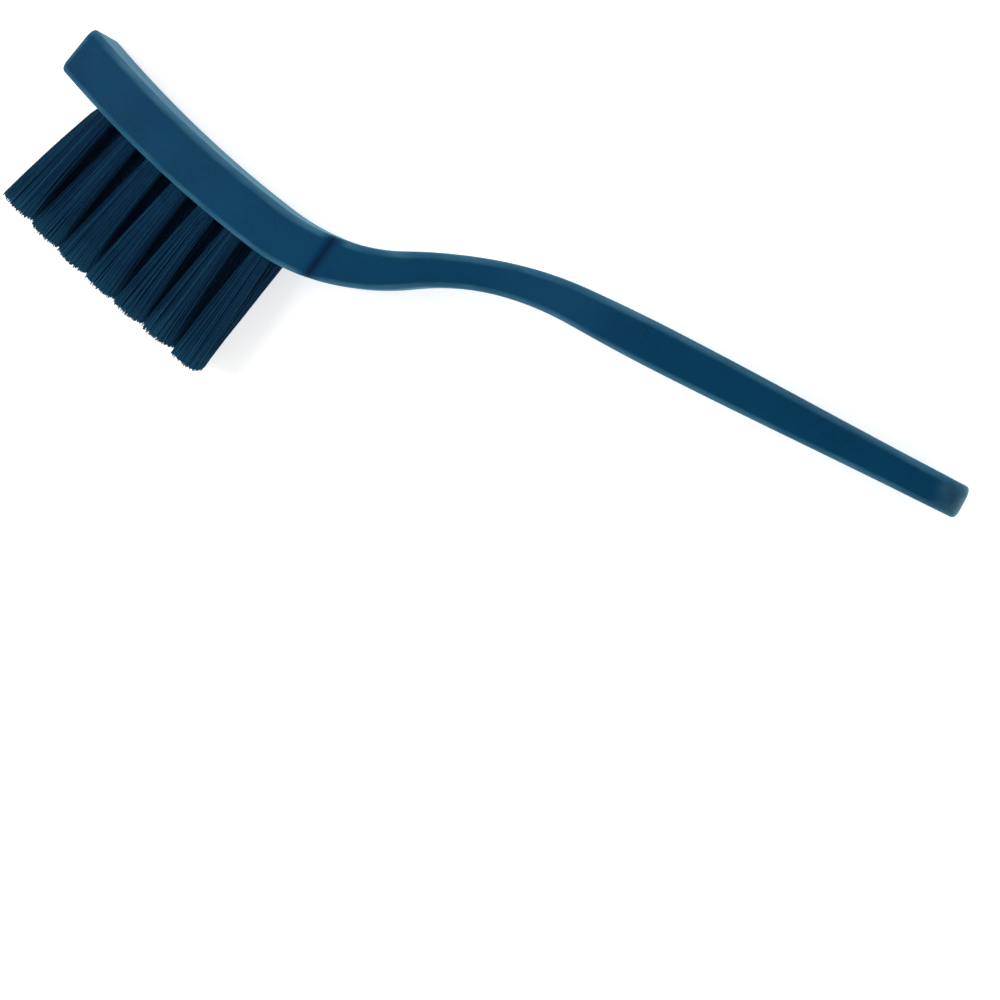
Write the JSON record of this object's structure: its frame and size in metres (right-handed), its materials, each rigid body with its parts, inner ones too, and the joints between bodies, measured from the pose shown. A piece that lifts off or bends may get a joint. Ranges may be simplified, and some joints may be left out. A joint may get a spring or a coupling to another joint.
{
  "type": "anti-static brush",
  "caption": "Small anti-static hand brush with a cranked one-piece plastic handle and a bowed head of staple-set bristle tufts, for dusting circuit boards.",
  "frame": {"origin": "under the middle of the whole brush, on the surface that its flat side lies on", "axes": "+X from the head's tip to the end of the grip, along the straight grip; +Y away from the bristles; +Z across the brush's width, up from the side it lies on"},
  "size_m": [0.1432, 0.0366, 0.013],
  "materials": {
    "handle_plastic": "satin moulded navy-blue static-dissipative plastic",
    "bristle": "blue-black conductive filament with a soft sheen",
    "anchor_wire": "drawn flat wire"
  },
  "bodies": {
    "root": {"handle": "handle_plastic", "tuft_a1": "bristle", "tuft_a2": "bristle", "tuft_a3": "bristle", "tuft_a4": "bristle", "tuft_a5": "bristle", "tuft_a6": "bristle", "tuft_a7": "bristle", "tuft_b1": "bristle", "tuft_b2": "bristle", "tuft_b3": "bristle", "tuft_b4": "bristle", "tuft_b5": "bristle", "tuft_b6": "bristle", "tuft_b7": "bristle", "tuft_c1": "bristle", "tuft_c2": "bristle", "tuft_c3": "bristle", "tuft_c4": "bristle", "tuft_c5": "bristle", "tuft_c6": "bristle", "tuft_c7": "bristle", "anchor_a1": "anchor_wire", "anchor_a2": "anchor_wire", "anchor_a3": "anchor_wire", "anchor_a4": "anchor_wire", "anchor_a5": "anchor_wire", "anchor_a6": "anchor_wire", "anchor_a7": "anchor_wire", "anchor_b1": "anchor_wire", "anchor_b2": "anchor_wire", "anchor_b3": "anchor_wire", "anchor_b4": "anchor_wire", "anchor_b5": "anchor_wire", "anchor_b6": "anchor_wire", "anchor_b7": "anchor_wire", "anchor_c1": "anchor_wire", "anchor_c2": "anchor_wire", "anchor_c3": "anchor_wire", "anchor_c4": "anchor_wire", "anchor_c5": "anchor_wire", "anchor_c6": "anchor_wire", "anchor_c7": "anchor_wire"}
  },
  "joints": []
}
